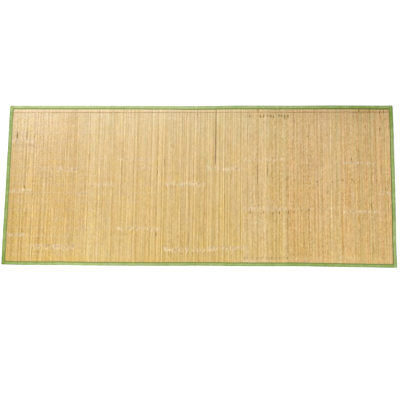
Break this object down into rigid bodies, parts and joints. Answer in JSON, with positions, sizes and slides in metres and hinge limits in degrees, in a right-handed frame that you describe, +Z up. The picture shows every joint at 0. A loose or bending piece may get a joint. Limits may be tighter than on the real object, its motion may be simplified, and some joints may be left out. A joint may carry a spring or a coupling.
{
  "type": "bamboo sleeping mat",
  "caption": "Flat oblong sleeping mat of thin split bamboo slats sewn side by side, edged all round with folded green cotton strips.",
  "frame": {"origin": "middle of the mat's footprint, on the surface that it lies on", "axes": "+X along the mat's length, +Y across it along the slats, towards the side with the red thread row, +Z up through the mat's thickness"},
  "size_m": [1.83, 0.7678, 0.0054],
  "materials": {
    "bamboo": "smooth planed bamboo, satin, with grain along the slats",
    "binding_cloth": "matt plain woven green cotton"
  },
  "bodies": {
    "root": {"slat_panel": "bamboo", "binding_far": "binding_cloth", "binding_near": "binding_cloth", "binding_left": "binding_cloth", "binding_right": "binding_cloth"}
  },
  "joints": []
}
